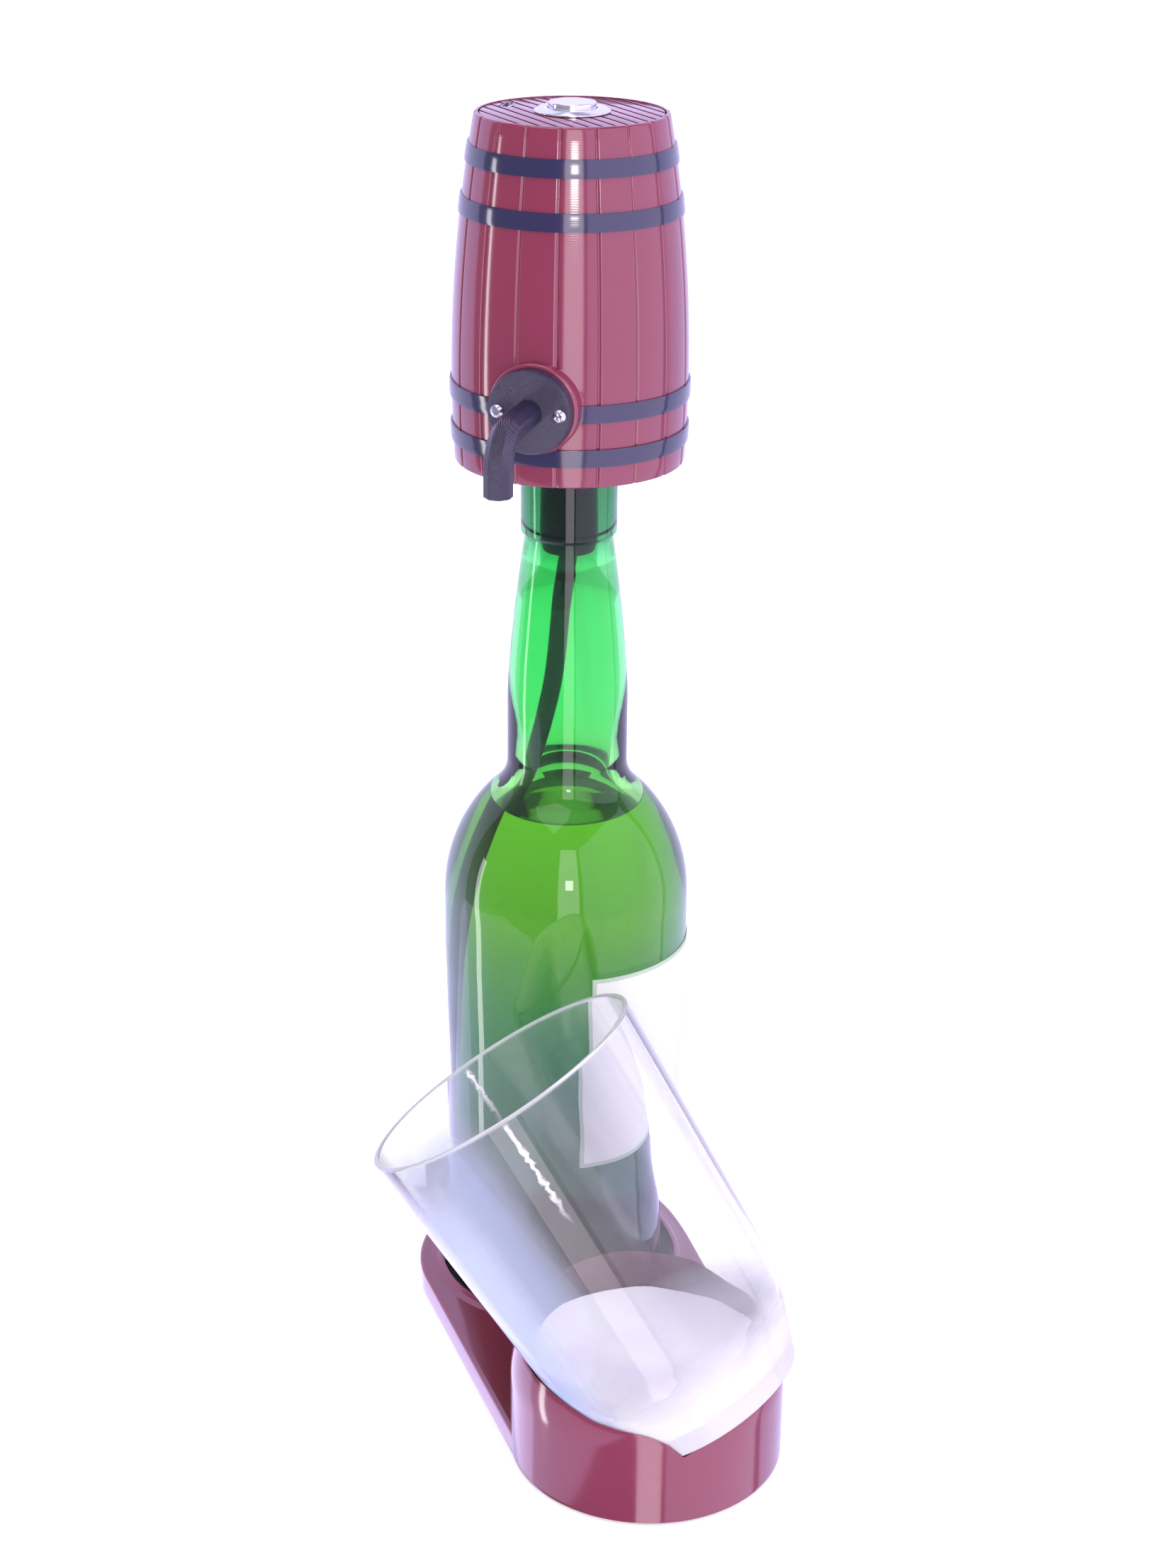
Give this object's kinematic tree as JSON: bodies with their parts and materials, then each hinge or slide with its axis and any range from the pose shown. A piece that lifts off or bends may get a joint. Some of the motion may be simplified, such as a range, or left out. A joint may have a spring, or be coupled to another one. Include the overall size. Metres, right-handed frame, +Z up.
{
  "type": "electric cider pourer",
  "caption": "Barrel-shaped battery pump on a cider bottle, which stands in a low base whose drum-shaped cradle holds a cider glass tilted under the spout.",
  "frame": {"origin": "on the table, on the axis of the bottle and the barrel, at the underside of the rear rubber foot", "axes": "+Z up along the bottle; -Y towards the user; +X to the user's right; the glass leans to -X"},
  "size_m": [0.1298, 0.1949, 0.4046],
  "materials": {
    "burgundy_plastic": "satin gloss, moulded",
    "hoop_plastic": "satin dark slate",
    "black_plastic": "matt black with faint layer lines",
    "grey_plastic": "plain moulded",
    "rubber": "matt black",
    "silicone": "milky, smooth",
    "steel": "plain",
    "chrome": "polished silver",
    "green_glass": "clear green glass",
    "clear_glass": "clear colourless glass",
    "label_paper": "blank white paper, stands for paper",
    "circuit_board": "green board",
    "battery_wrap": "shrink wrap over a steel can"
  },
  "bodies": {
    "base": {"base_slab": "burgundy_plastic", "glass_cradle": "burgundy_plastic", "cradle_screw_1": "steel", "cradle_screw_2": "steel", "cradle_screw_3": "steel", "bottle_mat": "rubber", "rear_foot_pad": "rubber", "front_foot_pad": "rubber"},
    "glass_body": {"cider_glass": "clear_glass"},
    "bottle_body": {"bottle": "green_glass", "bottle_label": "label_paper"},
    "stopper_body": {"stopper": "rubber", "stopper_ring_1": "rubber", "stopper_ring_2": "rubber", "suction_tube": "black_plastic"},
    "head": {"barrel_shell": "burgundy_plastic", "hoop_1": "hoop_plastic", "hoop_2": "hoop_plastic", "hoop_3": "hoop_plastic", "hoop_4": "hoop_plastic", "top_plate": "burgundy_plastic", "bottom_cover": "burgundy_plastic", "cover_screw_1": "steel", "cover_screw_2": "steel", "cover_screw_3": "steel", "frame_screw_1": "steel", "frame_screw_2": "steel", "spout_flange": "black_plastic", "spout_elbow": "black_plastic", "flange_screw_1": "steel", "flange_screw_2": "steel", "button_housing": "chrome", "button_spring": "steel", "switch_insert": "black_plastic", "button_nut": "steel", "charging_socket": "steel", "charging_board": "circuit_board", "pump_housing": "grey_plastic", "pump_cover": "grey_plastic", "pump_motor": "steel", "inner_frame": "grey_plastic", "battery_holder": "black_plastic", "battery_cell_1": "battery_wrap", "battery_cell_2": "battery_wrap", "inlet_hose": "silicone", "outlet_hose": "silicone"},
    "button": {"button_cap": "chrome"},
    "pump_rotor": {"motor_shaft": "steel", "drive_gear": "grey_plastic"},
    "pump_follower": {"driven_gear": "grey_plastic", "driven_pin": "steel"}
  },
  "joints": [
    {"name": "glass_lift", "type": "slide", "parent": "base", "child": "glass_body", "axis": [-0.5432, 0.1703, 0.8222], "range_m": [0, 0.08]},
    {"name": "bottle_lift", "type": "slide", "parent": "base", "child": "bottle_body", "axis": [0, 0, 1], "range_m": [0, 0.06]},
    {"name": "head_lift", "type": "slide", "parent": "bottle_body", "child": "stopper_body", "axis": [0, 0, 1], "range_m": [0, 0.3], "deforming": ["suction_tube"]},
    {"name": "head_swivel", "type": "hinge", "parent": "stopper_body", "child": "head", "pos_m": [0, 0, 0.2996], "axis": [0, 0, 1], "range_deg": [-90, 90]},
    {"name": "button_press", "type": "slide", "parent": "head", "child": "button", "axis": [0, 0, -1], "range_m": [0, 0.002], "stiffness_N_per_m": 400, "springref_m": -0.001, "deforming": ["button_spring"]},
    {"name": "pump_spin", "type": "hinge", "parent": "head", "child": "pump_rotor", "pos_m": [-0.011, 0, 0.35], "axis": [0, 0, 1], "continuous": true},
    {"name": "pump_follow", "type": "hinge", "parent": "head", "child": "pump_follower", "pos_m": [-0.0194, 0, 0.345], "axis": [0, 0, 1], "continuous": true}
  ],
  "couplings": [
    {"joint": "pump_follow", "follows": "pump_spin", "ratio": -1}
  ]
}
